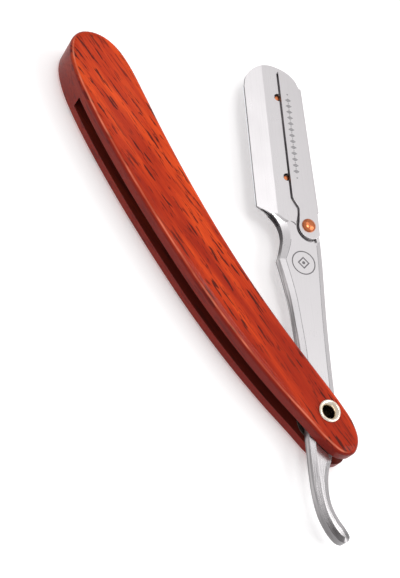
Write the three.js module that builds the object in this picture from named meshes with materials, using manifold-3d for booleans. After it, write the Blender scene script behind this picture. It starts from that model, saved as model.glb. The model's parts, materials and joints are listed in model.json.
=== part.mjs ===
// A folding barber's razor that holds half of a double-edge blade.
// The handle is two wooden scales and a spacer. The arm is two steel leaves that lie face to face,
// hold the blade between them, and are locked together by a steel clip that swings on a copper rivet.
// Units are millimetres and +Z is up. The razor lies on the outer face of its back scale, half open.
// The origin is on that resting surface, under the middle of the razor. +X runs along the handle
// from its closed end to its pivot end.
import * as THREE from 'three';
import { mergeVertices } from 'three/addons/utils/BufferGeometryUtils.js';
import Module from 'manifold-3d';

const wasm = await Module();
wasm.setup();

// ---- Driving dimensions ----

const PIVOT = { x: 44.1, y: -20.4 };
const ARM_ANGLE = THREE.MathUtils.degToRad(147.65);

// Handle. Its outline is measured from the pivot.
const HANDLE_THICKNESS = 12;
const SLOT_WIDTH = 4;
const HANDLE_EDGE_RADIUS = 1.5;
const HANDLE_OUTLINE = [
  [-116.2, 3.2], [-115, 6.2], [-112.2, 8.7], [-108, 10.1], [-102.5, 10.2], [-94, 9], [-83, 7.2],
  [-70, 5.5], [-55, 4.1], [-40, 3.4], [-25, 3.5], [-12, 4.2], [0, 4.9], [5.8, 4.6], [10, 2.8],
  [11.8, -0.3], [10.3, -3.4], [5.5, -5.3], [-2, -6.6], [-12, -8.3], [-25, -9.8], [-40, -10.6],
  [-55, -10.5], [-70, -9.9], [-85, -8.7], [-98, -7], [-107, -5], [-112.6, -2.5], [-115.4, 0.2],
];
const SPACER_INNER_FACE = [[-100.6, -12], [-100.6, -7], [-105.4, 3], [-105.8, 14]];

// Eyelet, its back ring and the pivot washers. The eyelet's rolled front lip is listed as [radius,
// height above the front scale], and its spread back end as [radius, height above the ring].
const EYELET_RADIUS = 1.9;
const EYELET_LIP = [[2.85, 0], [2.95, 0.2], [2.8, 0.45], [2.5, 0.55], [2.1, 0.35], [1.6, -0.4], [1.45, -1.2]];
const EYELET_BACK_END = [[1.45, 0.4], [1.9, -0.35], [2.4, -0.4], [2.5, -0.2], [2.25, 0]];
const BACK_RING = { inner: 2.05, outer: 3.1, thickness: 0.4 };
const COUNTERBORE = { radius: 3.4, depth: 0.9 };
const WASHER_RADIUS = 5;
const RUNNING_CLEARANCE = 0.1;

// Arm. Its outline is measured from the pivot, with x towards the tip and y towards the cutting edge.
const ARM_THICKNESS = 3.6;
const ARM_CHAMFER = { width: 1.3, depth: 0.6 };
const SHANK_AND_TANG = [
  [57.5, -5.85], [54, -6], [50, -6.1], [43, -5.95], [36, -5.6], [26, -5.1], [16, -4.85], [8, -4.75],
  [2, -4.5], [-4, -3.7], [-10.4, -1.8], [-14, -0.5], [-17.5, 0], [-20.5, 0], [-23.2, -0.6], [-25.9, -1.9],
  [-28, -3.3], [-30, -4.1], [-31.3, -3], [-31, -1.4], [-29.4, 0.2], [-27.2, 1.5], [-24.5, 2.6], [-19.5, 3.5],
  [-13, 3.75], [-6, 3.7], [2, 3.6], [10, 3.4], [18, 3.4], [25, 3.85], [32, 4.4], [37.5, 5.3], [43, 6.4],
];
const FINGER_NOTCH = [
  [43, 6.4], [45.3, 5.6], [49.5, 4.65], [52.6, 5.05], [55, 6.3], [56.8, 8.2], [58.2, 10.9],
];
const CUTTING_EDGE = [[58.2, 10.9], [95.4, 10.9]];
const HEAD_TIP = [
  [95.4, 10.9], [98.9, 10], [101.7, 7.4], [102.9, 3.8], [102.5, 0.6], [101.1, -2.5], [98.9, -4.6], [97, -5.1],
];
const HEAD_SPINE = [[97, -5.1], [57.5, -5.85]];

// Head. The bed is thinner than the shank by the thickness of the clip's sheet.
const CLIP_SHEET = 0.6;
const EDGE_THICKNESS = 0.3;
const BEVEL_RIDGE = 5.45;
const RIVET = { x: 53.5, y: -3, radius: 1.3 };
const BED_STEP = { x: RIVET.x - 0.75, y: RIVET.y - 0.55, radius: 4.25, from: 225, to: 72 };
const BED_STEP_TAIL = [[54.3, 1.9], [54.9, 3.4], [56.1, 5.3], [57.1, 7.8], [57.9, 14]];
const PIN_POSITIONS = { lower_blade_pin: [67.8, 1.4], upper_blade_pin: [92.8, 1.4] };
const PIN = { radius: 0.75, bottom: -1.1, top: 0.8, frontHole: 1.15, backHole: 0.85 };

// Clip, a sheet folded over the spine, with a round lobe about the rivet.
const CLIP_EDGE = 0.75;
const CLIP_LOBE = { x: RIVET.x - 0.55, y: RIVET.y - 0.45, radius: 3.3, from: 233, to: 68 };
const CLIP_NECK = [[57, -0.75], [58.6, -0.8], [60.2, 0.1], [61.6, CLIP_EDGE]];
const CLIP_TIP = [[101.1, CLIP_EDGE], [100.4, -1.7], [98.8, -3.9], [96.4, -5.2]];
const CLIP_SPINE = { from: [57.9, -6.75], to: [96.4, -5.95], bend: 0.6, web: 0.725 };
const CLIP_LOBE_END = -6.2;

// Copper rivet that the clip swings on.
const RIVET_HEAD = { radius: 1.95, height: 1.05 };
const RIVET_BURR = { radius: 2.2, thickness: 0.3 };
const RIVET_PEEN = [[0, -0.4], [1.225, -0.32], [1.75, 0]];

// Half of a double-edge blade, notched at its back edge for the pins, with a tab at each end.
const BLADE = { thickness: 0.1, back: 0.3, edge: 11.25, edgeFrom: 58.6, edgeTo: 95.6 };
const BLADE_TAB = { length: 3, top: 6.8, shoulder: 7.8 };
const BLADE_ROOM = 0.25;

// Places that lie outside the razor, for cutting tools to reach. BEYOND is past every face of the arm.
const PAST = { tip: 110, closedEnd: -130, edge: 14, spine: -12 };
const BEYOND = 5;
const OVERSIZE = 400;

// ---- Materials ----

const WOOD = { color: 0xcf4f2b, roughness: 0.35, metalness: 0 };
const STEEL = { color: 0xc9c4c6, roughness: 0.3, metalness: 1 };
const NICKEL = { color: 0xe2d6c3, roughness: 0.22, metalness: 1 };
const COPPER = { color: 0xd9743c, roughness: 0.28, metalness: 1 };

// ---- Heights above and below the middle of the arm ----

const SLOT_FACE = SLOT_WIDTH / 2;
const HANDLE_FACE = HANDLE_THICKNESS / 2;
const ARM_FACE = ARM_THICKNESS / 2;
const BED_FACE = ARM_FACE - CLIP_SHEET;
const BLADE_FACE = BLADE.thickness / 2;

// ---- Outlines ----

const SEGMENTS = 28;
const SAME_POINT = 1e-6;
const STRAIGHT = 1e-4;

// A smooth curve through the points, as a list of 2D points.
function smooth(points, samplesPerSpan, closed = false) {
  const through = points.map(([x, y]) => new THREE.Vector3(x, y, 0));
  const spans = closed ? points.length : points.length - 1;
  const curve = new THREE.CatmullRomCurve3(through, closed, 'centripetal');
  return curve.getPoints(spans * samplesPerSpan).map((p) => new THREE.Vector2(p.x, p.y));
}

function straight(points) {
  return points.map(([x, y]) => new THREE.Vector2(x, y));
}

// An arc between two angles in degrees, clockwise when the second is the smaller.
function arc({ x, y, radius, from, to }, steps) {
  return Array.from({ length: steps + 1 }, (_, i) => {
    const angle = THREE.MathUtils.degToRad(from + (to - from) * i / steps);
    return new THREE.Vector2(x + radius * Math.cos(angle), y + radius * Math.sin(angle));
  });
}

// One closed outline from runs that start where the run before them ends. Points on a straight
// stretch are left out, so that caps and walls share all their corners.
function outline(...runs) {
  const points = [];
  for (const point of runs.flat()) {
    const last = points[points.length - 1];
    if (!last || last.distanceTo(point) > SAME_POINT) points.push(point);
  }
  if (points[0].distanceTo(points[points.length - 1]) < SAME_POINT) points.pop();
  const corners = points.filter((point, i) => {
    const before = points[(i + points.length - 1) % points.length];
    const after = points[(i + 1) % points.length];
    return Math.abs(after.clone().sub(before).cross(point.clone().sub(before))) > STRAIGHT;
  });
  return new THREE.Shape(corners);
}

const handleOutline = () => outline(smooth(HANDLE_OUTLINE, 3, true));

const armOutline = () => outline(
  smooth(SHANK_AND_TANG, 2),
  smooth(FINGER_NOTCH, 3),
  straight(CUTTING_EDGE),
  smooth(HEAD_TIP, 2),
  straight(HEAD_SPINE),
);

// The head's side of the step between the shank and the thinner bed.
function bedRegion() {
  const step = arc(BED_STEP, 16);
  return outline(
    step,
    straight(BED_STEP_TAIL),
    straight([[PAST.tip, PAST.edge], [PAST.tip, PAST.spine], [step[0].x, PAST.spine]]),
  );
}

function clipOutline() {
  const [from] = CLIP_SPINE.from;
  const [to] = CLIP_SPINE.to;
  return outline(
    arc(CLIP_LOBE, 16),
    smooth(CLIP_NECK, 3),
    smooth(CLIP_TIP, 3),
    straight([[to, PAST.spine], [from, PAST.spine], [from, CLIP_LOBE_END]]),
  );
}

function bladeOutline() {
  const { back, edge, edgeFrom, edgeTo } = BLADE;
  const from = edgeFrom - BLADE_TAB.length;
  const to = edgeTo + BLADE_TAB.length;
  const notch = ([x, y]) => [
    new THREE.Vector2(x + PIN.frontHole, back),
    ...arc({ x, y, radius: PIN.frontHole, from: 0, to: 180 }, 8),
    new THREE.Vector2(x - PIN.frontHole, back),
  ];
  return outline(
    straight([[from, back], [from, BLADE_TAB.top], [edgeFrom, BLADE_TAB.shoulder], [edgeFrom, edge]]),
    straight([[edgeTo, edge], [edgeTo, BLADE_TAB.shoulder], [to, BLADE_TAB.top], [to, back]]),
    notch(PIN_POSITIONS.upper_blade_pin),
    notch(PIN_POSITIONS.lower_blade_pin),
  );
}

// The shallow pocket that the blade lies in. It runs out through the cutting edge.
function pocketOutline() {
  const from = BLADE.edgeFrom - BLADE_TAB.length - BLADE_ROOM;
  const to = BLADE.edgeTo + BLADE_TAB.length + BLADE_ROOM;
  const back = BLADE.back - BLADE_ROOM;
  return outline(straight([[from, back], [to, back], [to, PAST.edge], [from, PAST.edge]]));
}

// ---- Solids ----

function toManifold(geometry) {
  const bare = geometry.clone();
  bare.deleteAttribute('normal');
  bare.deleteAttribute('uv');
  const merged = mergeVertices(bare);
  return new wasm.Manifold(new wasm.Mesh({
    numProp: 3,
    vertProperties: Float32Array.from(merged.attributes.position.array),
    triVerts: Uint32Array.from(merged.index.array),
  }));
}

function toGeometry(solid) {
  const { vertProperties, triVerts } = solid.getMesh();
  const geometry = new THREE.BufferGeometry();
  geometry.setAttribute('position', new THREE.BufferAttribute(vertProperties, 3));
  geometry.setIndex(new THREE.BufferAttribute(triVerts, 1));
  geometry.computeVertexNormals();
  return geometry;
}

// A flat plate between two heights.
function plate(shape, bottom, top) {
  const options = { depth: top - bottom, bevelEnabled: false };
  return new THREE.ExtrudeGeometry(shape, options).translate(0, 0, bottom);
}

// A plate that is centred on z = 0, with both of its faces drawn in by an edge treatment.
function edgedPlate(shape, halfThickness, width, depth, segments) {
  const straightPart = 2 * (halfThickness - depth);
  return new THREE.ExtrudeGeometry(shape, {
    depth: straightPart,
    bevelThickness: depth,
    bevelSize: width,
    bevelOffset: -width,
    bevelSegments: segments,
  }).translate(0, 0, -straightPart / 2);
}

function cylinder(radius, x, y, bottom, top) {
  return new THREE.CylinderGeometry(radius, radius, top - bottom, SEGMENTS)
    .rotateX(Math.PI / 2)
    .translate(x, y, (top + bottom) / 2);
}

// A body of revolution about the vertical line through x, y. The profile lists [radius, height].
function turned(profile, x = 0, y = 0) {
  const points = profile.map(([radius, height]) => new THREE.Vector2(radius, height));
  return new THREE.LatheGeometry(points, SEGMENTS).rotateX(Math.PI / 2).translate(x, y, 0);
}

// A hole through everything.
const bore = (radius, x, y) => cylinder(radius, x, y, -OVERSIZE, OVERSIZE);

// A section with x across the arm and y up, drawn along the arm.
function alongArm(shape, from, to) {
  const across = new THREE.Vector3(0, 1, 0);
  const up = new THREE.Vector3(0, 0, 1);
  const along = new THREE.Vector3(1, 0, 0);
  const turn = new THREE.Matrix4().makeBasis(across, up, along);
  return plate(shape, from, to).applyMatrix4(turn);
}

// Everything above a height, or below it when side is -1.
function halfSpace(side, height) {
  const block = new THREE.BoxGeometry(OVERSIZE, OVERSIZE, OVERSIZE);
  return block.translate(0, 0, side * (height + OVERSIZE / 2));
}

const cut = (solid, ...tools) => tools.reduce((rest, tool) => rest.subtract(toManifold(tool)), solid);

// ---- Handle ----

const PIVOT_HOLE = EYELET_RADIUS + RUNNING_CLEARANCE;
const RING_SEAT = COUNTERBORE.depth - HANDLE_FACE;
const RING_FACE = RING_SEAT - BACK_RING.thickness;

// One scale. Side is +1 for the front scale and -1 for the back one.
function scale(side) {
  const round = HANDLE_EDGE_RADIUS;
  const slab = toManifold(edgedPlate(handleOutline(), HANDLE_FACE, round, round, 4));
  const half = slab.intersect(toManifold(halfSpace(side, SLOT_FACE)));
  const hole = bore(PIVOT_HOLE, 0, 0);
  if (side > 0) return toGeometry(cut(half, hole));
  const counterbore = cylinder(COUNTERBORE.radius, 0, 0, -OVERSIZE, RING_SEAT);
  return toGeometry(cut(half, hole, counterbore));
}

function spacer() {
  const slab = toManifold(plate(handleOutline(), -SLOT_FACE, SLOT_FACE));
  const corners = [[PAST.closedEnd, PAST.edge], [PAST.closedEnd, PAST.spine]];
  const closedEnd = outline(straight(SPACER_INNER_FACE), straight(corners));
  return toGeometry(slab.intersect(toManifold(plate(closedEnd, -BEYOND, BEYOND))));
}

function eyelet() {
  return turned([
    [EYELET_RADIUS, RING_FACE],
    [EYELET_RADIUS, HANDLE_FACE],
    ...EYELET_LIP.map(([radius, height]) => [radius, HANDLE_FACE + height]),
    ...EYELET_BACK_END.map(([radius, height]) => [radius, RING_FACE + height]),
    [EYELET_RADIUS, RING_FACE],
  ]);
}

function flatRing(inner, outer, bottom, top) {
  return turned([[inner, bottom], [outer, bottom], [outer, top], [inner, top], [inner, bottom]]);
}

// ---- Arm ----

// One leaf, from the tang's end to the head's tip. Side is +1 for the front leaf and -1 for the back one.
function leaf(side) {
  const { width, depth } = ARM_CHAMFER;
  const blank = toManifold(edgedPlate(armOutline(), ARM_FACE, width, depth, 1));
  const half = blank.intersect(toManifold(halfSpace(side, 0)));
  const aboveBed = toManifold(halfSpace(side, BED_FACE));
  const headSide = toManifold(plate(bedRegion(), -BEYOND, BEYOND));
  const thinned = half.subtract(headSide.intersect(aboveBed.add(bevel(side))));
  const pocket = plate(pocketOutline(), -BLADE_FACE, BLADE_FACE);
  const pinHole = side > 0 ? PIN.frontHole : PIN.backHole;
  const pinHoles = Object.values(PIN_POSITIONS).map(([x, y]) => bore(pinHole, x, y));
  return toGeometry(cut(thinned, pocket, ...pinHoles, rivetHole(), bore(PIVOT_HOLE, 0, 0)));
}

// What is ground away between the bed and the cutting edge.
function bevel(side) {
  const slope = (BED_FACE - EDGE_THICKNESS) / (CUTTING_EDGE[0][1] - BEVEL_RIDGE);
  const wedge = outline(straight([
    [BEVEL_RIDGE, side * BED_FACE],
    [PAST.edge, side * (BED_FACE - slope * (PAST.edge - BEVEL_RIDGE))],
    [PAST.edge, side * BEYOND],
    [BEVEL_RIDGE, side * BEYOND],
  ]));
  return toManifold(alongArm(wedge, BED_STEP.x, PAST.tip));
}

const rivetHole = () => bore(RIVET.radius + RUNNING_CLEARANCE, RIVET.x, RIVET.y);

function pin([x, y]) {
  return cylinder(PIN.radius, x, y, PIN.bottom, PIN.top);
}

// The folded sheet, with its web cut away beside the lobe so that it can swing.
function clip() {
  const [[fromX, fromY], [toX, toY]] = [CLIP_SPINE.from, CLIP_SPINE.to];
  const taper = Math.atan2(toY - fromY, toX - fromX);
  const channel = alongArm(clipSection(), -fromX, PAST.tip - fromX)
    .rotateZ(taper)
    .translate(fromX, fromY, 0);
  const sheet = toManifold(channel).intersect(toManifold(plate(clipOutline(), -BEYOND, BEYOND)));
  const mouth = new THREE.BoxGeometry(fromX, OVERSIZE, 2 * BED_FACE).translate(fromX / 2, 0, 0);
  return toGeometry(cut(sheet, mouth, rivetHole()));
}

// The clip's section, a U with rounded outer bends that opens towards the cutting edge.
function clipSection() {
  const { bend, web } = CLIP_SPINE;
  const open = PAST.edge;
  const corner = (side, from, to) => (
    arc({ x: bend, y: side * (ARM_FACE - bend), radius: bend, from, to }, 4)
  );
  return outline(
    straight([[open, ARM_FACE]]),
    corner(1, 90, 180),
    corner(-1, 180, 270),
    straight([[open, -ARM_FACE], [open, -BED_FACE]]),
    straight([[web, -BED_FACE], [web, BED_FACE], [open, BED_FACE]]),
  );
}

// The rivet, with its domed head in front and its end hammered over the burr behind.
function rivet() {
  const burrFace = -ARM_FACE - RIVET_BURR.thickness;
  const steps = 6;
  const dome = Array.from({ length: steps }, (_, i) => {
    const angle = i / steps * Math.PI / 2;
    return [RIVET_HEAD.radius * Math.cos(angle), ARM_FACE + RIVET_HEAD.height * Math.sin(angle)];
  });
  return turned([
    ...RIVET_PEEN.map(([radius, height]) => [radius, burrFace + height]),
    [RIVET.radius, burrFace],
    [RIVET.radius, ARM_FACE],
    ...dome,
    [0, ARM_FACE + RIVET_HEAD.height],
  ], RIVET.x, RIVET.y);
}

function burr() {
  const inner = RIVET.radius + RUNNING_CLEARANCE;
  const ring = flatRing(inner, RIVET_BURR.radius, -ARM_FACE - RIVET_BURR.thickness, -ARM_FACE);
  return ring.translate(RIVET.x, RIVET.y, 0);
}

const blade = () => plate(bladeOutline(), -BLADE_FACE, BLADE_FACE);

// ---- Assembly ----

function piece(name, geometry, look) {
  const mesh = new THREE.Mesh(geometry, new THREE.MeshStandardMaterial(look));
  mesh.name = name;
  return mesh;
}

function handle() {
  const frontWasher = flatRing(PIVOT_HOLE, WASHER_RADIUS, ARM_FACE, SLOT_FACE);
  const backWasher = flatRing(PIVOT_HOLE, WASHER_RADIUS, -SLOT_FACE, -ARM_FACE);
  return new THREE.Group().add(
    piece('front_scale', scale(1), WOOD),
    piece('back_scale', scale(-1), WOOD),
    piece('scale_spacer', spacer(), WOOD),
    piece('pivot_eyelet', eyelet(), NICKEL),
    piece('eyelet_back_ring', flatRing(BACK_RING.inner, BACK_RING.outer, RING_FACE, RING_SEAT), NICKEL),
    piece('front_pivot_washer', frontWasher, NICKEL),
    piece('back_pivot_washer', backWasher, NICKEL),
  );
}

function arm() {
  const group = new THREE.Group().add(
    piece('front_leaf', leaf(1), STEEL),
    piece('back_leaf', leaf(-1), STEEL),
    piece('spine_clip', clip(), STEEL),
    piece('clip_rivet', rivet(), COPPER),
    piece('clip_rivet_burr', burr(), COPPER),
    piece('razor_blade', blade(), STEEL),
  );
  for (const [name, place] of Object.entries(PIN_POSITIONS)) {
    group.add(piece(name, pin(place), COPPER));
  }
  group.rotation.z = ARM_ANGLE;
  return group;
}

const razor = new THREE.Group().add(handle(), arm());
razor.position.set(PIVOT.x, PIVOT.y, HANDLE_FACE);

export default razor;
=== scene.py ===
"""A folding barber's razor: lacquered wooden scales and a two-leaf steel arm, half open on a white table."""

import json
import math

import bmesh
import bpy
import numpy as np
from mathutils import Matrix, Vector


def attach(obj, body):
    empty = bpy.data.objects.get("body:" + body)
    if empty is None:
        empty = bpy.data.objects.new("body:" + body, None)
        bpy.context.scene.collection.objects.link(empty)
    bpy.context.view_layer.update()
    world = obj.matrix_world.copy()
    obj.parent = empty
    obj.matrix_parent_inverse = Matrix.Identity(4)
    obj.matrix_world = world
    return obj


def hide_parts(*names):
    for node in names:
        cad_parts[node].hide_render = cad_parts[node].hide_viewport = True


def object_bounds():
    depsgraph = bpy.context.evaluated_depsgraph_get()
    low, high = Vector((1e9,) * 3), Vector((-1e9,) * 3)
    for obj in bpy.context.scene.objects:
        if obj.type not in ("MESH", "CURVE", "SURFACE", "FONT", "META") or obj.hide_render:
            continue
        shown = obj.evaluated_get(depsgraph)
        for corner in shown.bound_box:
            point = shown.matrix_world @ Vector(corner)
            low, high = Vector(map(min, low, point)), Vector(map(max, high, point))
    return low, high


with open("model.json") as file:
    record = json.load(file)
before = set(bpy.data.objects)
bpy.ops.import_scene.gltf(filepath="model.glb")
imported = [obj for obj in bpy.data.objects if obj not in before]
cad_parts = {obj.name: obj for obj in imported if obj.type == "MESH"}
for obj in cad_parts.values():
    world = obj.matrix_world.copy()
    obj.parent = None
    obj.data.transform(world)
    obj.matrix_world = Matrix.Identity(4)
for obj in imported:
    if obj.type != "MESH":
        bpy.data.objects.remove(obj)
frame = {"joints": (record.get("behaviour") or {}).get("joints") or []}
cad_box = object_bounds()

# Shapes are drawn in millimetres about the pivot, and then placed in the frame in metres. The handle's
# keep the frame's axes. The arm's have x towards the head's tip and y towards the cutting edge.
MM = 0.001
JOINTS = {joint["name"]: joint for joint in frame["joints"]}
PIVOT = Vector(JOINTS["arm_pivot"]["pos_m"])
ARM_ANGLE = math.radians(147.65)
HANDLE = Matrix.Translation(PIVOT) @ Matrix.Scale(MM, 4)
ARM = Matrix.Translation(PIVOT) @ Matrix.Rotation(ARM_ANGLE, 4, "Z") @ Matrix.Scale(MM, 4)

# Heights from the middle of the arm.
SLOT_FACE = 2.0
HANDLE_FACE = 6.0
ARM_FACE = 1.8
BED_FACE = 1.2
EDGE_FACE = 0.3

# Places and heights just outside the razor, for cutting tools to reach.
PAST_TIP, PAST_CLOSED_END, PAST_EDGE, PAST_SPINE = 110, -130, 14, -12
ABOVE_ARM = 5
ABOVE_HANDLE = 20

# Handle.
HANDLE_OUTLINE = [
    (-116.2, 3.2), (-115, 6.2), (-112.2, 8.7), (-108, 10.1), (-102.5, 10.2), (-94, 9), (-83, 7.2),
    (-70, 5.5), (-55, 4.1), (-40, 3.4), (-25, 3.5), (-12, 4.2), (0, 4.9), (5.8, 4.6), (10, 2.8),
    (11.8, -0.3), (10.3, -3.4), (5.5, -5.3), (-2, -6.6), (-12, -8.3), (-25, -9.8), (-40, -10.6),
    (-55, -10.5), (-70, -9.9), (-85, -8.7), (-98, -7), (-107, -5), (-112.6, -2.5), (-115.4, 0.2),
]
SPACER_INNER_FACE = [(-100.6, PAST_SPINE), (-100.6, -7), (-105.4, 3), (-105.8, PAST_EDGE)]
HANDLE_ROUNDING = 1.5
HANDLE_CROWN = 0.1

# Eyelet, as (radius, height) points, and the radii of its parts, its holes and the pivot washers.
EYELET_RADIUS = 1.9
EYELET_LIP = [(2.85, 6), (2.95, 6.2), (2.8, 6.45), (2.5, 6.55), (2.1, 6.35), (1.6, 5.6), (1.45, 4.8)]
EYELET_BACK_END = [(1.45, -5.1), (1.9, -5.85), (2.4, -5.9), (2.5, -5.7), (2.25, -5.5)]
BACK_RING_FACES = (-5.5, -5.1)
BACK_RING_RADII = (2.05, 3.1)
COUNTERBORE = 3.4
PIVOT_HOLE = 2.0
WASHER = 5.0

# Arm.
SHANK_AND_TANG = [
    (57.5, -5.85), (54, -6), (50, -6.1), (43, -5.95), (36, -5.6), (26, -5.1), (16, -4.85), (8, -4.75),
    (2, -4.5), (-4, -3.7), (-10.4, -1.8), (-14, -0.5), (-17.5, 0), (-20.5, 0), (-23.2, -0.6),
    (-25.9, -1.9), (-28, -3.3), (-30, -4.1), (-31.3, -3), (-31, -1.4), (-29.4, 0.2), (-27.2, 1.5),
    (-24.5, 2.6), (-19.5, 3.5), (-13, 3.75), (-6, 3.7), (2, 3.6), (10, 3.4), (18, 3.4), (25, 3.85),
    (32, 4.4), (37.5, 5.3), (43, 6.4),
]
FINGER_NOTCH = [(43, 6.4), (45.3, 5.6), (49.5, 4.65), (52.6, 5.05), (55, 6.3), (56.8, 8.2), (58.2, 10.9)]
NOTCH_MIDDLE = Vector((50.6, 5.5, 0))
CUTTING_EDGE = [(58.2, 10.9), (95.4, 10.9)]
HEAD_TIP = [
    (95.4, 10.9), (98.9, 10), (101.7, 7.4), (102.9, 3.8), (102.5, 0.6), (101.1, -2.5), (98.9, -4.6),
    (97, -5.1),
]
HEAD_SPINE = [(97, -5.1), (57.5, -5.85)]
BEVEL_RIDGE = 5.45
# The chamfer's width, the height it starts from, and how much both change at the notch.
CHAMFER = 1.3
SHOULDER = 1.25
NOTCH_CHAMFER = {"wider": 0.55, "deeper": 0.28}

# Head. A circle is (x, y, radius), here and for the clip.
RIVET = (53.5, -3.0)
RIVET_RADIUS = 1.3
RIVET_HOLE = 1.4
BURR_RADIUS = 2.2
BURR_FACE = -2.1
BED_STEP = (52.75, -3.55, 4.25)
BED_STEP_TAIL = [(54.3, 1.9), (54.9, 3.4), (56.1, 5.3), (57.1, 7.8), (57.9, PAST_EDGE)]
PINS = {"lower_blade_pin": (67.8, 1.4), "upper_blade_pin": (92.8, 1.4)}
PIN_PROFILE = [(0, -1.1), (0.7, -1.1), (0.75, -1.05), (0.75, 0.6), (0.68, 0.72), (0.4, 0.78), (0, 0.8)]
FRONT_PIN_HOLE, BACK_PIN_HOLE = 1.15, 0.85
BLADE_BACK, BLADE_EDGE = 0.3, 11.25
BLADE_POCKET = [(55.35, 0.05), (98.85, 0.05), (98.85, PAST_EDGE), (55.35, PAST_EDGE)]
NOTCH_SLIT = [(53.2, 4), (58, 4), (58, 9.6), (53.2, 9.6)]

# Clip.
CLIP_EDGE = 0.75
CLIP_LOBE = (52.95, -3.45, 3.3)
CLIP_NECK = [(57, -0.75), (58.6, -0.8), (60.2, 0.1), (61.6, CLIP_EDGE)]
CLIP_TIP = [(101.1, CLIP_EDGE), (100.4, -1.7), (98.8, -3.9), (96.4, -5.2)]
CLIP_SPINE = [(57.9, -6.75), (96.4, -5.95)]
# The radius of its bends, the thickness of its web, and the y where its straight edge leaves the web.
CLIP_BEND = 0.6
CLIP_WEB = 0.725
CLIP_LOBE_END = -6.2
GROOVE_WIDTH = 0.34
GROOVE_FLOOR = 0.62

# Marks stand just proud of the steel, and the fine lines a little less.
MARK_FACES = (ARM_FACE - 0.03, ARM_FACE + 0.012)
LINE_FACES = (ARM_FACE - 0.03, ARM_FACE + 0.006)


# ---- Camera ----

def make_camera():
    """Looks down at the razor, rolled so that the arm stands nearly upright in the view."""
    camera = bpy.data.objects.new("camera", bpy.data.cameras.new("camera"))
    bpy.context.scene.collection.objects.link(camera)
    camera.data.sensor_width = 36
    camera.data.lens = 87.2
    place = Vector((0.05209, -0.21937, 0.29212))
    right = Vector((0.55441, 0.73373, 0.39277))
    up = Vector((-0.81930, 0.39827, 0.41247))
    back = Vector((0.14622, -0.55047, 0.82195))
    turn = Matrix((right, up, back)).transposed().to_4x4()
    camera.matrix_world = Matrix.Translation(place) @ turn
    bpy.context.scene.camera = camera


# ---- Outlines ----

def smooth(points, samples, closed=False):
    """A centripetal curve through the points, as a list of points."""
    p = [np.array(q, float) for q in points]
    if closed:
        p = [p[-1], *p, p[0], p[1]]
    else:
        p = [2 * p[0] - p[1], *p, 2 * p[-1] - p[-2]]
    found = []
    for a, b, c, d in zip(p, p[1:], p[2:], p[3:]):
        ab, bc, cd = (max(np.linalg.norm(t - s), 1e-9) ** 0.5 for s, t in ((a, b), (b, c), (c, d)))
        start = ((b - a) / ab - (c - a) / (ab + bc) + (c - b) / bc) * bc
        end = ((c - b) / bc - (d - b) / (bc + cd) + (d - c) / cd) * bc
        for t in np.arange(samples) / samples:
            found.append(
                (2 * t**3 - 3 * t**2 + 1) * b + (t**3 - 2 * t**2 + t) * start
                + (3 * t**2 - 2 * t**3) * c + (t**3 - t**2) * end
            )
    if not closed:
        found.append(p[-2])
    return [tuple(q) for q in found]


def arc(x, y, radius, start, end, steps):
    angles = np.radians(np.linspace(start, end, steps + 1))
    return [(x + radius * math.cos(a), y + radius * math.sin(a)) for a in angles]


def outline(*runs):
    """One closed outline, anticlockwise, from runs that meet end to end."""
    same, points = 1e-4, []
    for point in (p for run in runs for p in run):
        if not points or math.dist(points[-1], point) > same:
            points.append(point)
    if math.dist(points[0], points[-1]) < same:
        points.pop()
    x, y = np.array(points).T
    area = np.sum(x * np.roll(y, -1) - y * np.roll(x, -1))
    return points if area > 0 else points[::-1]


def inset(points, distance):
    """The outline drawn in by a distance, or by one distance for each point."""
    p = np.array(points)
    before = p - np.roll(p, 1, 0)
    after = np.roll(p, -1, 0) - p
    normals = [np.c_[-e[:, 1], e[:, 0]] / np.linalg.norm(e, axis=1)[:, None] for e in (before, after)]
    middle = normals[0] + normals[1]
    middle /= np.linalg.norm(middle, axis=1)[:, None]
    # A corner point goes further than the distance, but never more than twice as far.
    reach = np.maximum(np.sum(middle * normals[1], axis=1), 0.5)
    distance = np.broadcast_to(distance, len(p))
    q = p + middle * (distance / reach)[:, None]
    # Points that come too near another stretch of the outline are gathered where the curve crosses itself.
    near_enough = 0.985
    good = gap_to(q, p) > near_enough * distance
    for i in np.flatnonzero(~good):
        low, high = i - 1, i + 1
        while not good[low]:
            low -= 1
        while not good[high % len(q)]:
            high += 1
        q[i] = (q[low] + q[high % len(q)]) / 2
    return [tuple(point) for point in q]


def gap_to(points, ring):
    """Each point's distance to a closed outline."""
    edges = np.roll(ring, -1, 0) - ring
    offset = points[:, None, :] - ring[None, :, :]
    share = np.clip(np.sum(offset * edges, axis=2) / np.sum(edges * edges, axis=1), 0, 1)
    return np.linalg.norm(offset - share[:, :, None] * edges, axis=2).min(axis=1)


def arm_outline():
    shank, notch, tip = smooth(SHANK_AND_TANG, 9), smooth(FINGER_NOTCH, 8), smooth(HEAD_TIP, 10)
    return outline(shank, notch, CUTTING_EDGE, tip, HEAD_SPINE)


def clip_outline():
    (start, _), (end, _) = CLIP_SPINE
    spine = [(end, PAST_SPINE), (start, PAST_SPINE), (start, CLIP_LOBE_END)]
    return outline(arc(*CLIP_LOBE, 233, 68, 32), smooth(CLIP_NECK, 6), smooth(CLIP_TIP, 8), spine)


# ---- Solids ----

def link(name, verts, faces):
    """A new object in the scene, from vertices and faces."""
    mesh = bpy.data.meshes.new(name)
    mesh.from_pydata([tuple(v) for v in verts], [], faces)
    mesh.update()
    obj = bpy.data.objects.new(name, mesh)
    bpy.context.scene.collection.objects.link(obj)
    face_out(obj)
    return obj


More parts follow.
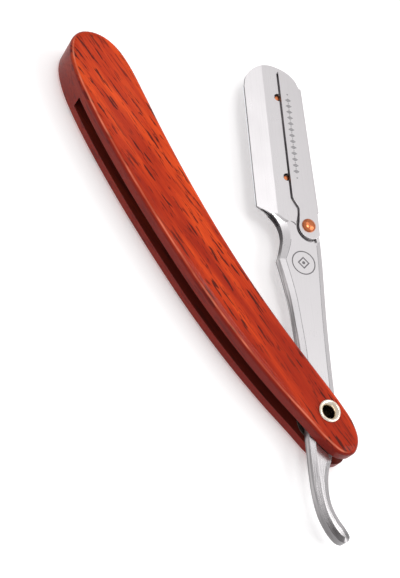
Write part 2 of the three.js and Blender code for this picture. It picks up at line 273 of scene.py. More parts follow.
def stack(name, loops):
    """A closed solid from (outline, height or heights) loops of one length, capped at both ends."""
    count = len(loops[0][0])
    verts = []
    for points, level in loops:
        verts += [(x, y, z) for (x, y), z in zip(points, np.broadcast_to(level, count))]
    faces = [list(range(count))[::-1]]
    for level in range(len(loops) - 1):
        low, high = level * count, (level + 1) * count
        for i in range(count):
            j = (i + 1) % count
            faces.append([low + i, low + j, high + j, high + i])
    faces.append([len(verts) - count + i for i in range(count)])
    return link(name, verts, faces)


def prism(name, points, bottom, top):
    return stack(name, [(points, bottom), (points, top)])


def turned(name, profile, x=0.0, y=0.0, segments=96):
    """A body of revolution about an upright line, from a closed profile of (radius, height) points."""
    verts, rings = [], []
    for radius, height in profile:
        first = len(verts)
        if radius < 1e-6:
            verts.append((x, y, height))
            rings.append([first] * segments)
            continue
        for k in range(segments):
            angle = 2 * math.pi * k / segments
            verts.append((x + radius * math.cos(angle), y + radius * math.sin(angle), height))
        rings.append(list(range(first, first + segments)))
    closed = profile[0][0] > 1e-6
    pairs = list(zip(rings, rings[1:] + rings[:1] if closed else rings[1:]))
    faces = []
    for low, high in pairs:
        for k in range(segments):
            j = (k + 1) % segments
            corners = [low[k], low[j], high[j], high[k]]
            faces.append([c for i, c in enumerate(corners) if c not in corners[:i]])
    return link(name, verts, faces)


def section_along(name, section, start, end):
    """A solid with one section of (across, up) points all along x."""
    count = len(section)
    verts = [(start, y, z) for y, z in section] + [(end, y, z) for y, z in section]
    faces = [list(range(count)), [2 * count - 1 - i for i in range(count)]]
    for i in range(count):
        j = (i + 1) % count
        faces.append([i, count + i, count + j, j])
    return link(name, verts, faces)


def face_out(obj):
    """Joins doubled vertices and turns the faces outward."""
    work = bmesh.new()
    work.from_mesh(obj.data)
    bmesh.ops.remove_doubles(work, verts=work.verts, dist=0.001)
    bmesh.ops.recalc_face_normals(work, faces=work.faces)
    work.to_mesh(obj.data)
    work.free()


def bake(obj):
    """Applies an object's modifiers to its mesh."""
    graph = bpy.context.evaluated_depsgraph_get()
    mesh = bpy.data.meshes.new_from_object(obj.evaluated_get(graph))
    old = obj.data
    obj.modifiers.clear()
    obj.data = mesh
    mesh.name = obj.name
    bpy.data.meshes.remove(old)


def carve(obj, *tools, operation="DIFFERENCE"):
    """Cuts an object by each tool in turn, exactly, and removes the tools."""
    for tool in tools:
        step = obj.modifiers.new("carve", "BOOLEAN")
        step.operation = operation
        step.solver = "EXACT"
        step.object = tool
        bake(obj)
        bpy.data.objects.remove(tool)
    return obj


def finish_piece(obj, place, body, node, look, rounding=0.0, sharp=8.0):
    """Rounds the hard edges, shades the piece, places it in the frame, and lets it stand for its CAD node."""
    hard, merge = math.radians(28), 0.002
    work = bmesh.new()
    work.from_mesh(obj.data)
    bmesh.ops.remove_doubles(work, verts=work.verts, dist=merge)
    bmesh.ops.dissolve_degenerate(work, dist=merge, edges=work.edges)
    bmesh.ops.recalc_face_normals(work, faces=work.faces)
    # Edges over the sharp angle are shaded sharp, but not those that the rounding takes away.
    limit = hard if rounding else math.inf
    for edge in work.edges:
        angle = edge.calc_face_angle(0) if len(edge.link_faces) == 2 else 0
        edge.smooth = not (math.radians(sharp) < angle < limit)
    for face in work.faces:
        face.smooth = True
    work.to_mesh(obj.data)
    work.free()
    if rounding:
        bevel = obj.modifiers.new("rounding", "BEVEL")
        bevel.width = rounding
        bevel.segments = 2
        bevel.limit_method = "ANGLE"
        bevel.angle_limit = hard
        bevel.use_clamp_overlap = False
        bake(obj)
    obj.data.transform(place)
    weights = obj.modifiers.new("weights", "WEIGHTED_NORMAL")
    weights.keep_sharp = True
    bake(obj)
    obj.data.materials.clear()
    obj.data.materials.append(look)
    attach(obj, body)
    if node:
        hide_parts(node)
    return obj


# ---- Materials ----

class Look:
    """A node material that is built up from small steps."""

    def __init__(self, name):
        self.material = bpy.data.materials.new(name)
        self.material.use_nodes = True
        self.nodes = self.material.node_tree.nodes
        self.links = self.material.node_tree.links
        self.shader = self.nodes["Principled BSDF"]
        self.place = self.nodes.new("ShaderNodeTexCoord").outputs["Object"]

    def set(self, **values):
        for name, value in values.items():
            socket = self.shader.inputs[name.replace("_", " ").title().replace("Ior", "IOR")]
            socket.default_value = value

    def feed(self, name, socket):
        self.links.new(socket, self.shader.inputs[name])

    def stretched(self, across, turn):
        """Coordinates divided by a grain size in millimetres along each axis, after a turn in degrees."""
        first = self.nodes.new("ShaderNodeMapping")
        first.inputs["Rotation"].default_value = (0, 0, math.radians(turn))
        self.links.new(self.place, first.inputs["Vector"])
        second = self.nodes.new("ShaderNodeMapping")
        second.inputs["Scale"].default_value = [1 / (MM * size) for size in across]
        self.links.new(first.outputs["Vector"], second.inputs["Vector"])
        return second.outputs["Vector"]

    def noise(self, size, turn=0.0, detail=2.0, roughness=0.5, distortion=0.0):
        node = self.nodes.new("ShaderNodeTexNoise")
        node.inputs["Scale"].default_value = 1
        node.inputs["Detail"].default_value = detail
        node.inputs["Roughness"].default_value = roughness
        node.inputs["Distortion"].default_value = distortion
        self.links.new(self.stretched(size, turn), node.inputs["Vector"])
        return node.outputs["Fac"]

    def tang_grain(self):
        """A fine grain that follows the curve of the tang."""
        bend_start, curve, sizes = 17.5, 28, (9, 0.28, 0.28)
        aligned = self.nodes.new("ShaderNodeMapping")
        turn = Matrix.Rotation(-ARM_ANGLE, 3, "Z")
        aligned.inputs["Rotation"].default_value = (0, 0, -ARM_ANGLE)
        aligned.inputs["Location"].default_value = -(turn @ PIVOT)
        self.links.new(self.place, aligned.inputs["Vector"])
        parts = self.nodes.new("ShaderNodeSeparateXYZ")
        self.links.new(aligned.outputs["Vector"], parts.inputs["Vector"])
        u, v, z = parts.outputs
        past_bend = self.maths("MINIMUM", self.maths("ADD", u, bend_start * MM), 0)
        bent = self.maths("MULTIPLY_ADD", self.maths("MULTIPLY", past_bend, past_bend), curve, v)
        joined = self.nodes.new("ShaderNodeCombineXYZ")
        for socket, value, size in zip(joined.inputs, (u, bent, z), sizes):
            self.put(socket, self.maths("DIVIDE", value, size * MM))
        node = self.nodes.new("ShaderNodeTexNoise")
        node.inputs["Scale"].default_value = 1
        node.inputs["Roughness"].default_value = 0.7
        self.links.new(joined.outputs["Vector"], node.inputs["Vector"])
        return node.outputs["Fac"]

    def ramp(self, value, *stops):
        node = self.nodes.new("ShaderNodeValToRGB")
        elements = node.color_ramp.elements
        while len(elements) < len(stops):
            elements.new(0.5)
        for element, (place, colour) in zip(elements, stops):
            element.position = place
            element.color = (*colour, 1) if isinstance(colour, tuple) else (colour, colour, colour, 1)
        self.links.new(value, node.inputs["Fac"])
        return node.outputs["Color"]

    def mix(self, amount, a, b):
        """Two colours, mixed. The node's inputs 6 and 7 and its output 2 are the ones for colours."""
        node = self.nodes.new("ShaderNodeMix")
        node.data_type = "RGBA"
        factor, first, second = (node.inputs[k] for k in (0, 6, 7))
        for socket, value in ((factor, amount), (first, a), (second, b)):
            self.put(socket, value)
        return node.outputs[2]

    def maths(self, operation, *values):
        node = self.nodes.new("ShaderNodeMath")
        node.operation = operation
        for socket, value in zip(node.inputs, values):
            self.put(socket, value)
        return node.outputs[0]

    def product(self, total, *others):
        for other in others:
            total = self.maths("MULTIPLY", total, other)
        return total

    def put(self, socket, value):
        if isinstance(value, bpy.types.NodeSocket):
            self.links.new(value, socket)
        elif isinstance(value, tuple):
            socket.default_value = (*value, 1)
        else:
            socket.default_value = value

    def spread(self, value, low, high, out_low, out_high):
        """Maps low to high onto out_low to out_high, and holds the ends."""
        node = self.nodes.new("ShaderNodeMapRange")
        self.links.new(value, node.inputs["Value"])
        ends = {"From Min": low, "From Max": high, "To Min": out_low, "To Max": out_high}
        for name, number in ends.items():
            node.inputs[name].default_value = number
        return node.outputs["Result"]

    def along(self, axis):
        """The place along one axis of the object's own frame, in metres."""
        node = self.nodes.new("ShaderNodeSeparateXYZ")
        self.links.new(self.place, node.inputs["Vector"])
        return node.outputs[axis]

    def facing(self, axis="Z"):
        """How far the surface faces along an axis (1) or against it (-1)."""
        node = self.nodes.new("ShaderNodeSeparateXYZ")
        self.links.new(self.nodes["Texture Coordinate"].outputs["Normal"], node.inputs["Vector"])
        return node.outputs[axis]

    def gap_from(self, point):
        """The distance in metres from a point in the object's own frame."""
        node = self.nodes.new("ShaderNodeVectorMath")
        node.operation = "DISTANCE"
        self.links.new(self.place, node.inputs[0])
        node.inputs[1].default_value = point
        return node.outputs["Value"]

    def bump(self, height, distance, strength):
        node = self.nodes.new("ShaderNodeBump")
        node.inputs["Strength"].default_value = strength
        node.inputs["Distance"].default_value = distance * MM
        self.links.new(height, node.inputs["Height"])
        self.feed("Normal", node.outputs["Normal"])


def lacquered_wood(name, shade_inside_slot):
    """Orange-red wood with darker bands, fine fibres and short dark pores, under clear lacquer."""
    look = Look(name)
    orange, red, deep = (0.74, 0.078, 0.011), (0.50, 0.038, 0.007), (0.34, 0.020, 0.005)
    fibre_stain = (0.24, 0.014, 0.004)
    pore_stain, small_pore_stain = (0.06, 0.008, 0.005), (0.10, 0.010, 0.006)
    # These three colours are painted shade on the walls, a painted highlight on the front rounding, and
    # painted shade in the slot.
    wall_shade, painted_highlight, slot_shade = (0.14, 0.005, 0.003), (0.85, 0.24, 0.14), (0.078, 0.014, 0.011)
    # Bands of colour, redder toward the pivot.
    toward_pivot = look.spread(look.along("X"), -0.06, 0.03, 0, 1)
    wander = look.noise((45, 3.2, 4), -2, detail=3, distortion=0.4)
    shifted = look.maths("MULTIPLY_ADD", toward_pivot, 0.22, wander)
    # The handle is more orange on the side away from the slot's mouth. The side follows its bend.
    x, y = (look.maths("SUBTRACT", look.along(axis), PIVOT[k]) for k, axis in enumerate("XY"))
    from_middle = look.maths("ADD", x, 0.045)
    across = look.maths("MULTIPLY_ADD", look.maths("MULTIPLY", from_middle, from_middle), -1.6, y)
    shifted = look.maths("ADD", shifted, look.spread(across, -0.0115, 0.0045, 0.09, -0.09))
    base = look.ramp(shifted, (0.40, orange), (0.60, red), (0.80, deep))
    fibre = look.noise((9, 0.33, 0.5), -2, detail=3, roughness=0.6)
    base = look.mix(look.spread(fibre, 0.45, 0.75, 0, 0.6), base, fibre_stain)
    # Long pores in clumps, and small ones everywhere, with ragged outlines.
    clumps = look.ramp(look.noise((22, 9, 9), detail=1), (0.30, 0.1), (0.50, 1.0))
    ragged = look.noise((1.1, 0.5, 0.7), -2, detail=2)
    pores = look.noise((8, 0.75, 1.2), -2, detail=1, distortion=0.25)
    pores = look.ramp(look.maths("MULTIPLY_ADD", ragged, 0.16, pores), (0.675, 0.0), (0.735, 1.0))
    small = look.noise((4.5, 0.42, 0.7), 1, detail=1)
    small = look.ramp(look.maths("MULTIPLY_ADD", ragged, 0.16, small), (0.71, 0.0), (0.79, 1.0))
    clumped = look.maths("MULTIPLY", pores, clumps)
    base = look.mix(look.maths("MULTIPLY", clumped, 0.9), base, pore_stain)
    base = look.mix(look.maths("MULTIPLY", small, 0.7), base, small_pore_stain)
    # Painted shade: the upright edges are darker than the faces.
    edge = look.spread(look.maths("ABSOLUTE", look.facing()), 0.95, 0.35, 0, 0.8)
    base = look.mix(edge, base, wall_shade)
    # A painted highlight: the front rounding is lighter in a thin, uneven line, on the side that the slot
    # opens to.
    highlight_line = look.product(
        look.spread(look.facing(), 0.93, 0.84, 0, 1),
        look.spread(look.facing(), 0.66, 0.76, 0, 1),
        look.spread(look.facing("Y"), -0.2, -0.5, 0, 1),
        look.spread(look.noise((7, 2, 2), -2), 0.4, 0.6, 0.25, 0.7),
    )
    base = look.mix(highlight_line, base, painted_highlight)
    # Painted shade: the faces of the scales that line the slot are darkened.
    if shade_inside_slot:
        depth = look.maths("ABSOLUTE", look.maths("SUBTRACT", look.along("Z"), PIVOT.z))
        inside = look.spread(depth, (SLOT_FACE + 0.08) * MM, (SLOT_FACE + 0.02) * MM, 0, 0.85)
        base = look.mix(inside, base, slot_shade)
    look.feed("Base Color", base)
    look.feed("Roughness", look.spread(fibre, 0.3, 0.7, 0.34, 0.46))
    look.bump(look.maths("SUBTRACT", look.maths("MULTIPLY", fibre, 0.4), clumped), 0.03, 0.3)
    look.set(ior=1.12, coat_weight=0.18, coat_roughness=0.07)
    return look.material


def steel(name, colour, low, high):
    """Satin steel with a fine lengthwise grain and a cloudy polish, with painted shade on its edges, tang and
    finger notch.
    """
    look = Look(name)
    turn = -math.degrees(ARM_ANGLE)
    # Colours for painted shade near the tang's tip and in the finger notch.
    tip_shade_colour, notch_shade_colour = (0.035, 0.03, 0.03), (0.03, 0.024, 0.027)

    def shaded(tint, amount, share):
        """The tint, mixed by an amount with a share of the steel's own colour."""
        return look.mix(amount, tint, tuple(c * share for c in colour))

    grain = look.noise((14, 0.12, 0.12), turn, detail=3, roughness=0.6)
    cloud = look.noise((7, 5, 5), turn, detail=3)
    tint = shaded(colour, look.spread(cloud, 0.35, 0.65, 0, 1), 0.97)
    tint = shaded(tint, look.spread(grain, 0.5, 0.8, 0, 0.35), 0.72)
    # The tang keeps lengthwise marks of grinding, and its chamfers get painted shade that dims their
    # highlights.
    tang = look.spread(look.along("X"), 0.047, 0.055, 0, 1)
    lines = look.spread(look.tang_grain(), 0.46, 0.62, 0, 0.6)
    tint = shaded(tint, look.product(lines, tang), 0.45)
    tang_chamfer_shade = look.spread(look.facing(), 0.97, 0.93, 0, 0.18)
    tint = shaded(tint, look.product(tang, tang_chamfer_shade), 0.4)
    # Painted shade toward the tip darkens its convex side, and more painted shade darkens the very end all
    # over.
    tip_side_shade = look.product(
        look.spread(look.along("X"), 0.057, 0.068, 0, 0.97),
        look.spread(look.facing("Y"), -0.05, -0.32, 0, 1),
        look.spread(look.tang_grain(), 0.4, 0.6, 1, 0.6),
    )
    tint = look.mix(tip_side_shade, tint, tip_shade_colour)
    tint = shaded(tint, look.spread(look.along("X"), 0.069, 0.0705, 0, 0.7), 0.3)
    # Painted shade: the upright edges are darker than the faces, in streaks.
    wall_shade_streaks = look.spread(look.noise((16, 2, 0.6), turn, detail=2), 0.38, 0.62, 0.35, 1)
    edge = look.spread(look.maths("ABSOLUTE", look.facing()), 0.6, 0.2, 0, 1)
    tint = shaded(tint, look.product(edge, wall_shade_streaks), 0.27)
    # Painted shade: the wall of the finger notch is darker still.
    notch_shade = look.spread(look.gap_from(ARM @ NOTCH_MIDDLE), 7.6 * MM, 5.2 * MM, 0, 0.92)
    tint = look.mix(look.product(edge, notch_shade), tint, notch_shade_colour)
    look.feed("Base Color", tint)
    polish = look.maths("ADD", look.maths("MULTIPLY", cloud, 0.5), look.maths("MULTIPLY", grain, 0.5))
    satin = look.spread(polish, 0.35, 0.65, low, high)
    look.feed("Roughness", look.maths("MULTIPLY_ADD", tang, low - high - 0.06, satin))
    look.bump(grain, 0.004, 0.5)
    look.set(metallic=1.0)
    return look.material


def plated(name, colour, shade, low, high, dark_below=None):
    """Metal that is a little darker and rougher in patches, with painted shade that makes it browner and
    darker below a height, if one is given.
    """
    look = Look(name)
    patches = look.noise((1.6, 1.6, 1.6), detail=4, roughness=0.6)
    specks = look.noise((0.25, 0.25, 0.25), detail=2)
    tint = look.mix(look.spread(patches, 0.42, 0.72, 0, 1), colour, shade)
    # Painted shade: browner and darker down inside a hole.
    if dark_below:
        depth = look.spread(look.along("Z"), dark_below, dark_below - 1.6 * MM, 0, 0.9)
        tint = look.mix(depth, tint, (0.10, 0.07, 0.04))
    look.feed("Base Color", tint)
    look.feed("Roughness", look.spread(patches, 0.3, 0.7, low, high))
    look.bump(specks, 0.006, 0.35)
    look.set(metallic=1.0)
    return look.material


def etched(name, dark, light):
    """The grey, grainy surface of an etched mark, also used for the painted shade lines."""
    look = Look(name)
    grain = look.noise((0.18, 0.18, 0.18), detail=3)
    look.feed("Base Color", look.ramp(grain, (0.35, dark), (0.7, light)))
    look.feed("Roughness", look.spread(grain, 0.3, 0.7, 0.45, 0.7))
    look.bump(grain, 0.02, 0.5)
    look.set(metallic=0.6)
    return look.material


# ---- Handle ----

def rounded_slab(name, side):
    """One scale's solid, with a rounded outer edge and a slightly crowned face."""
    edge = outline(smooth(HANDLE_OUTLINE, 9, closed=True))
    radius, crown = HANDLE_ROUNDING, HANDLE_CROWN
    loops = [(edge, SLOT_FACE), (edge, HANDLE_FACE - radius)]
    rounding_steps, crown_steps, crown_step = 9, 3, 0.2
    for k in range(1, rounding_steps + 1):
        angle = math.pi / 2 * k / rounding_steps
        height = HANDLE_FACE - crown - radius * (1 - math.sin(angle))
        loops.append((inset(edge, radius * (1 - math.cos(angle))), height))
    for k in range(1, crown_steps + 1):
        height = HANDLE_FACE - crown * (1 - k / crown_steps) ** 2
        loops.append((inset(edge, radius + crown_step * k), height))
    if side < 0:
        loops = [(points, -height) for points, height in reversed(loops)]
    return stack(name, loops)


def bore(radius, x=0.0, y=0.0, top=ABOVE_HANDLE):
    """Cuts a round hole, right through unless it has a top."""
    profile = [(0, -ABOVE_HANDLE), (radius, -ABOVE_HANDLE), (radius, top), (0, top)]
    return turned("bore", profile, x, y, 64)


def handle(wood, spacer_wood, nickel, painted_shade_nickel):
    front = carve(rounded_slab("front_scale_wood", 1), bore(PIVOT_HOLE))
    finish_piece(front, HANDLE, "handle", "front_scale", wood, sharp=30)
    back = rounded_slab("back_scale_wood", -1)
    ring_bottom, ring_top = BACK_RING_FACES
    carve(back, bore(PIVOT_HOLE), bore(COUNTERBORE, top=ring_top))
    finish_piece(back, HANDLE, "handle", "back_scale", wood, sharp=30)

    edge = outline(smooth(HANDLE_OUTLINE, 9, closed=True))
    slab = prism("scale_spacer_wood", edge, -SLOT_FACE, SLOT_FACE)
    closed_end = outline(SPACER_INNER_FACE, [(PAST_CLOSED_END, PAST_EDGE), (PAST_CLOSED_END, PAST_SPINE)])
    carve(slab, prism("closed_end", closed_end, -ABOVE_ARM, ABOVE_ARM), operation="INTERSECT")
    finish_piece(slab, HANDLE, "handle", "scale_spacer", spacer_wood, sharp=30)

    barrel = [(EYELET_RADIUS, ring_bottom), (EYELET_RADIUS, HANDLE_FACE)]
    eyelet = turned("pivot_eyelet_tube", [*barrel, *smooth(EYELET_LIP, 5), *smooth(EYELET_BACK_END, 5)])
    finish_piece(eyelet, HANDLE, "handle", "pivot_eyelet", nickel)
    ring = flat_ring("eyelet_back_washer", *BACK_RING_RADII, ring_bottom, ring_top)
    finish_piece(ring, HANDLE, "handle", "eyelet_back_ring", nickel)
    washers = {"front": (ARM_FACE, SLOT_FACE), "back": (-SLOT_FACE, -ARM_FACE)}
    for side, (bottom, top) in washers.items():
        washer = flat_ring(side + "_washer", PIVOT_HOLE, WASHER, bottom, top)
        finish_piece(washer, HANDLE, "handle", side + "_pivot_washer", painted_shade_nickel)


def flat_ring(name, inner, outer, bottom, top, x=0.0, y=0.0):
    """A washer with slightly eased edges."""
    ease = 0.04
    return turned(name, [
        (inner, bottom + ease), (inner + ease, bottom), (outer - ease, bottom), (outer, bottom + ease),
        (outer, top - ease), (outer - ease, top), (inner + ease, top), (inner, top - ease),
    ], x, y)


# ---- Arm ----

def bed_cutter():
    """Cuts the head down to the bed. Its wall is upright round the lobe and fades to a ramp by the notch."""
    step = arc(*BED_STEP, 225, 72, 34)
    tail = smooth([step[-1], *BED_STEP_TAIL], 5)[1:]
    # The ramp's width at heights along the tail, from the lobe to past the cutting edge.
    places, widths = [0.5, 2.4, 3.4, 5, 8, PAST_EDGE], [0, 0.1, 1.6, 3, 3.4, 3.4]
    ramp = np.interp([y for _, y in tail], places, widths)
    shifted = [(x - width, y + 0.35 * width) for (x, y), width in zip(tail, ramp)]
    rest = [(PAST_TIP, PAST_EDGE), (PAST_TIP, PAST_SPINE), (step[0][0], PAST_SPINE)]
    # Both loops run clockwise, so they are turned round together.
    low, high = [*step, *tail, *rest][::-1], [*step, *shifted, *rest][::-1]
    return stack("bed_cutter", [(low, BED_FACE), (high, ARM_FACE + 0.02)])


def bevel_cutter():
    """Cuts the slope from the ridge down to the cutting edge."""
    start = 56.2
    slope = (BED_FACE - EDGE_FACE) / (CUTTING_EDGE[0][1] - BEVEL_RIDGE)
    foot = BED_FACE - slope * (PAST_EDGE - BEVEL_RIDGE)
    section = [(BEVEL_RIDGE, BED_FACE), (PAST_EDGE, foot), (PAST_EDGE, ABOVE_ARM), (BEVEL_RIDGE, ABOVE_ARM)]
    return section_along("bevel_cutter", section, start, PAST_TIP)


def groove_cutter():
    """The dark gap round the lobe and along the clip's edge. Its inner side runs under the clip."""
    under, end, lobe_steps = 0.4, 100.6, 24
    neck = smooth(CLIP_NECK, 6)
    x, y, radius = BED_STEP
    outer = [*arc(x, y, radius + 0.06, 204, 73, 30), (55.2, 0.0)]
    outer += [(x, y + GROOVE_WIDTH) for x, y in neck]
    outer += [(end, CLIP_EDGE + GROOVE_WIDTH), (end, CLIP_EDGE - under)]
    x, y, radius = CLIP_LOBE
    inner = [(x, y - under) for x, y in neck][::-1]
    lobe = [(54.4, -1.0), *arc(x, y, radius - under, 68, 212, lobe_steps)]
    return prism("groove_cutter", outline(outer, inner, lobe), GROOVE_FLOOR, ARM_FACE + 0.5)


def near_notch(edge):
    """How far each point of the outline is into the finger notch, from 0 to 1."""
    start, end = FINGER_NOTCH[0][0], FINGER_NOTCH[-1][0]
    x, y = np.array(edge).T
    share = np.clip((x - start) / (end - start), 0, 1)
    return np.where((x > start) & (x < end) & (y > 2), np.sin(np.pi * share), 0)


def chamfer_width(edge):
    """The chamfer's width at each point of the outline. It widens round the finger notch."""
    return CHAMFER + NOTCH_CHAMFER["wider"] * near_notch(edge)


def shank_line(low_end, high_end, side):
    """The outline of the fine painted shade line where the chamfer along one edge of the shank meets the
    face.
    """
    edge = arm_outline()
    inner, outer = (inset(edge, chamfer_width(edge) + extra) for extra in (0.2, 0.02))
    keep = [i for i, (x, y) in enumerate(outer) if low_end < x < high_end and y * side > 0]
    keep.sort(key=lambda i: outer[i][0])
    return outline([outer[i] for i in keep], [inner[i] for i in keep[::-1]])


def leaf(name, side, pin_hole):
    """One leaf. The back one is the front one's mirror image, with its pin holes close round the pins."""
    edge = arm_outline()
    face = inset(edge, chamfer_width(edge))
    shoulder = SHOULDER - NOTCH_CHAMFER["deeper"] * near_notch(edge)
    body = stack(name, [(edge, 0), (edge, shoulder), (face, ARM_FACE)])
    carve(body, bed_cutter(), bevel_cutter(), groove_cutter())
    pin_holes = (bore(pin_hole, x, y) for x, y in PINS.values())
    carve(body, *pin_holes, bore(RIVET_HOLE, *RIVET), bore(PIVOT_HOLE))
    # This leaf's half of the room for the blade, and of the slit between the leaves at the notch.
    room, slit = 0.06, 0.3
    pocket = prism("pocket", outline(BLADE_POCKET), -room, room)
    carve(body, pocket, prism("slit", outline(NOTCH_SLIT), -slit, slit))
    body.data.transform(Matrix.Scale(side, 4, (0, 0, 1)))
    return body


def clip(name):
    """The folded sheet, cut to its outline and drilled for the rivet."""
    (x0, y0), (x1, y1) = CLIP_SPINE
    bend, web, far = CLIP_BEND, CLIP_WEB, PAST_EDGE
    section = [
        (far, ARM_FACE),
        *arc(bend, ARM_FACE - bend, bend, 90, 180, 12), *arc(bend, bend - ARM_FACE, bend, 180, 270, 12),
        (far, -ARM_FACE), (far, -BED_FACE), (web, -BED_FACE), (web, BED_FACE), (far, BED_FACE),
    ]
    sheet = section_along(name, section, -x0, PAST_TIP - x0)
    taper = Matrix.Rotation(math.atan2(y1 - y0, x1 - x0), 4, "Z")
    sheet.data.transform(Matrix.Translation((x0, y0, 0)) @ taper)
    carve(sheet, prism("clip_outline", clip_outline(), -ABOVE_ARM, ABOVE_ARM), operation="INTERSECT")
    # The lobe's end has no web between its walls.
    wide = 30
    mouth = outline([(0, -wide), (x0, -wide), (x0, wide), (0, wide)])
    carve(sheet, prism("mouth", mouth, -BED_FACE, BED_FACE), bore(RIVET_HOLE, *RIVET))
    return sheet


def rivet(name):
    """The rivet, with a domed head in front and its end hammered over the burr."""
    head, dome_foot, dome_height = 1.95, 1.9, 0.95
    angles = np.linspace(0, math.pi / 2, 15)
    dome = [(head * math.cos(a), dome_foot + dome_height * math.sin(a)) for a in angles[:-1]]
    hammered = [(0, 0.4), (0.7, 0.38), (1.3, 0.3), (1.65, 0.15), (1.75, 0)]
    peen = [(radius, BURR_FACE - drop) for radius, drop in hammered]
    shank = [(RIVET_RADIUS, BURR_FACE), (RIVET_RADIUS, ARM_FACE)]
    rim = [(head - 0.05, ARM_FACE), (head, ARM_FACE + 0.04)]
    return turned(name, [*peen, *shank, *rim, *dome, (0, dome_foot + dome_height)], *RIVET)


def blade_strip(name):
    """Half of a double-edge blade, ground to an edge, with a notch for each pin and a tab at each end."""
    back, edge, notch = BLADE_BACK, BLADE_EDGE, 1.15
    face, ground_face, ground_width = 0.05, 0.004, 0.5
    left = [(55.6, back), (55.6, 6.8), (58.6, 7.8), (58.6, edge)]
    right = [(95.6, edge), (95.6, 7.8), (98.6, 6.8), (98.6, back)]
    notches = []
    for x, y in (PINS["upper_blade_pin"], PINS["lower_blade_pin"]):
        notches += [(x + notch, back), *arc(x, y, notch, 0, 180, 24), (x - notch, back)]
    full = outline(left, right, notches)
    ground = [(x, min(y, edge - ground_width)) for x, y in full]
    return stack(name, [(ground, -face), (full, -ground_face), (full, ground_face), (ground, face)])


def marks(mark_and_shade_ink, faint_mark_and_shade_ink):
    """A generic ring with a lozenge on the shank, painted shade lines along the shank, and a plain border of
    lozenges and dots on the clip.
    """
    shank_marks(mark_and_shade_ink)
    shank_shade_lines(mark_and_shade_ink, faint_mark_and_shade_ink)
    clip_border(faint_mark_and_shade_ink)


def shank_marks(mark_and_shade_ink):
    """The ring, the lozenge in it and the dot in that."""
    low, high = MARK_FACES
    x, y = 42.3, -0.15
    inside, outside, dot = 3.1, 3.42, 0.45
    ring = turned("shank_ring_mark", [(inside, low), (outside, low), (outside, high), (inside, high)], x, y)
    outer, inner = ([(x + r, y), (x, y + r), (x - r, y), (x, y - r)] for r in (1.75, 1.25))
    lozenge = prism("shank_lozenge_mark", outer, low, high)
    carve(lozenge, prism("inner", inner, -ABOVE_ARM, ABOVE_ARM))
    spot = turned("shank_dot_mark", [(0, low), (dot, low), (dot, high), (0, high)], x, y, 32)
    for mark in (ring, lozenge, spot):
        finish_piece(mark, ARM, "arm", None, mark_and_shade_ink)


def shank_shade_lines(mark_and_shade_ink, faint_mark_and_shade_ink):
    """Painted shade lines: fine dark lines beside the chamfers, and a darker one where the bed's step runs
    out to the notch.
    """
    for name, start, end, side in (("edge_side_shade_line", 6, 49, 1), ("spine_side_shade_line", 6, 48, -1)):
        line = prism(name, shank_line(start, end, side), *LINE_FACES)
        finish_piece(line, ARM, "arm", None, faint_mark_and_shade_ink)
    # Points along the dark line, as (x, y, half its width).
    tail = [(53.25, 0.85, 0.2), (53.75, 1.2, 0.17), (54.0, 1.65, 0.13), (54.15, 2.3, 0.05)]
    left, right = ([(x - side * half, y + 0.5 * side * half) for x, y, half in tail] for side in (1, -1))
    line = prism("step_tail_shade_line", outline(left, right[::-1]), *LINE_FACES)
    finish_piece(line, ARM, "arm", None, mark_and_shade_ink)


def clip_border(faint_mark_and_shade_ink):
    """A row of lozenges with a small one between each two, and a dot past each end."""
    verts, faces = [], []
    count, first, pitch = 13, 69.6, 1.86
    for k in range(count):
        centre = first + pitch * k
        add_lozenge(verts, faces, centre, 0.62, 0.95)
        if k < count - 1:
            add_lozenge(verts, faces, centre + pitch / 2, 0.2, 0.2)
    for centre in (67.6, 93.8):
        add_lozenge(verts, faces, centre, 0.3, 0.3)
    border = link("clip_border_mark", verts, faces)
    finish_piece(border, ARM, "clip", None, faint_mark_and_shade_ink)


def add_lozenge(verts, faces, x, along, across):
    """Adds a lozenge on the clip's middle line, from half its length and half its width."""
    first, y = len(verts), -1.25
    for z in MARK_FACES:
        verts += [(x + along, y, z), (x, y + across, z), (x - along, y, z), (x, y - across, z)]
    faces += [[first + i for i in (3, 2, 1, 0)], [first + i for i in (4, 5, 6, 7)]]
    faces += [[first + i, first + (i + 1) % 4, first + 4 + (i + 1) % 4, first + 4 + i] for i in range(4)]


def arm(steel_look, clip_look, blade_look, copper, mark_and_shade_ink, faint_mark_and_shade_ink):
    front = leaf("front_leaf_steel", 1, FRONT_PIN_HOLE)
    finish_piece(front, ARM, "arm", "front_leaf", steel_look)
    back = leaf("back_leaf_steel", -1, BACK_PIN_HOLE)
    finish_piece(back, ARM, "arm", "back_leaf", steel_look)
    finish_piece(clip("spine_clip_sheet"), ARM, "clip", "spine_clip", clip_look, rounding=0.1)
    finish_piece(rivet("clip_rivet_head"), ARM, "arm", "clip_rivet", copper)
    burr = flat_ring("rivet_burr_ring", RIVET_HOLE, BURR_RADIUS, BURR_FACE, -ARM_FACE, *RIVET)
    finish_piece(burr, ARM, "arm", "clip_rivet_burr", copper)
    finish_piece(blade_strip("blade_strip"), ARM, "arm", "razor_blade", blade_look)
    for node, (x, y) in PINS.items():
        pin = turned(node + "_stud", PIN_PROFILE, x, y, 48)
        finish_piece(pin, ARM, "arm", node, copper)
    marks(mark_and_shade_ink, faint_mark_and_shade_ink)


# ---- Stage and lights ----

def stage():
    """A plain white table, a hair below the razor."""
    half, drop = 6.0, 0.00002
    corners = [(-half, -half, 0), (half, -half, 0), (half, half, 0), (-half, half, 0)]
    floor = link("table", corners, [[0, 1, 2, 3]])
    look = Look("white_table")
    tone = look.ramp(look.noise((60, 60, 60), detail=3), (0.3, (0.9, 0.9, 0.9)), (0.7, (0.93, 0.93, 0.93)))
    look.feed("Base Color", tone)
    look.set(roughness=0.9, emission_strength=0.25)
    floor.data.materials.append(look.material)
    floor.location.z = cad_box[0][2] - drop


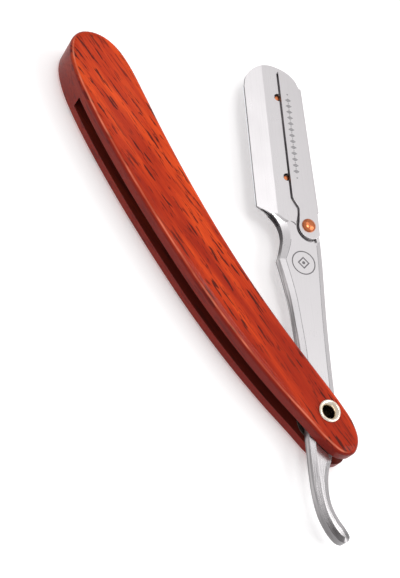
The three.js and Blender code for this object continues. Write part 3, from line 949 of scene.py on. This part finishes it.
def soft_light(name, place, size, power):
    """A square softbox, aimed at the frame's origin."""
    data = bpy.data.lights.new(name, "AREA")
    data.shape = "RECTANGLE"
    data.size, data.size_y = size, size
    data.energy = power
    light = bpy.data.objects.new(name, data)
    bpy.context.scene.collection.objects.link(light)
    light.location = place
    light.rotation_euler = (-Vector(place)).to_track_quat("-Z", "Y").to_euler()


def lights():
    """A pale surround, a large key light and three weaker lights."""
    world = bpy.data.worlds.new("studio")
    world.use_nodes = True
    backdrop = world.node_tree.nodes["Background"]
    backdrop.inputs["Color"].default_value = (1, 0.985, 0.99, 1)
    backdrop.inputs["Strength"].default_value = 0.68
    bpy.context.scene.world = world
    soft_light("key", (0.52, 0.44, 0.74), size=0.7, power=3.8)
    soft_light("top", (-0.05, 0.02, 0.9), size=0.3, power=1.6)
    soft_light("overhead", (0.0, 0.456, 0.656), size=0.6, power=0.26)
    soft_light("side", (-0.304, 0.256, 0.696), size=0.34, power=0.25)
    bpy.context.scene.view_settings.view_transform = "Standard"


make_camera()
wood = lacquered_wood("lacquered_wood", shade_inside_slot=True)
spacer_wood = lacquered_wood("spacer_wood", shade_inside_slot=False)
# The eyelet's nickel gets painted shade down inside its bore.
nickel = plated("warm_nickel", (0.93, 0.86, 0.74), (0.78, 0.66, 0.50), 0.10, 0.24, dark_below=0.0118)
# The pivot washers' nickel is painted dark, as painted shade inside the slot.
painted_shade_nickel = plated("painted_shade_nickel", (0.20, 0.17, 0.15), (0.10, 0.085, 0.075), 0.35, 0.5)
copper = plated("polished_copper", (0.68, 0.22, 0.09), (0.42, 0.12, 0.055), 0.14, 0.28)
leaf_steel = steel("satin_steel", (0.72, 0.70, 0.71), 0.27, 0.33)
clip_steel = steel("clip_steel", (0.69, 0.67, 0.68), 0.28, 0.35)
blade_steel = steel("blade_steel", (0.70, 0.70, 0.72), 0.12, 0.2)
mark_and_shade_ink = etched("etched_mark_and_shade_line", (0.11, 0.105, 0.11), (0.24, 0.23, 0.24))
faint_mark_and_shade_ink = etched("faint_mark_and_shade_line", (0.24, 0.235, 0.24), (0.42, 0.41, 0.42))
handle(wood, spacer_wood, nickel, painted_shade_nickel)
arm(leaf_steel, clip_steel, blade_steel, copper, mark_and_shade_ink, faint_mark_and_shade_ink)
stage()
lights()

bpy.context.view_layer.update()
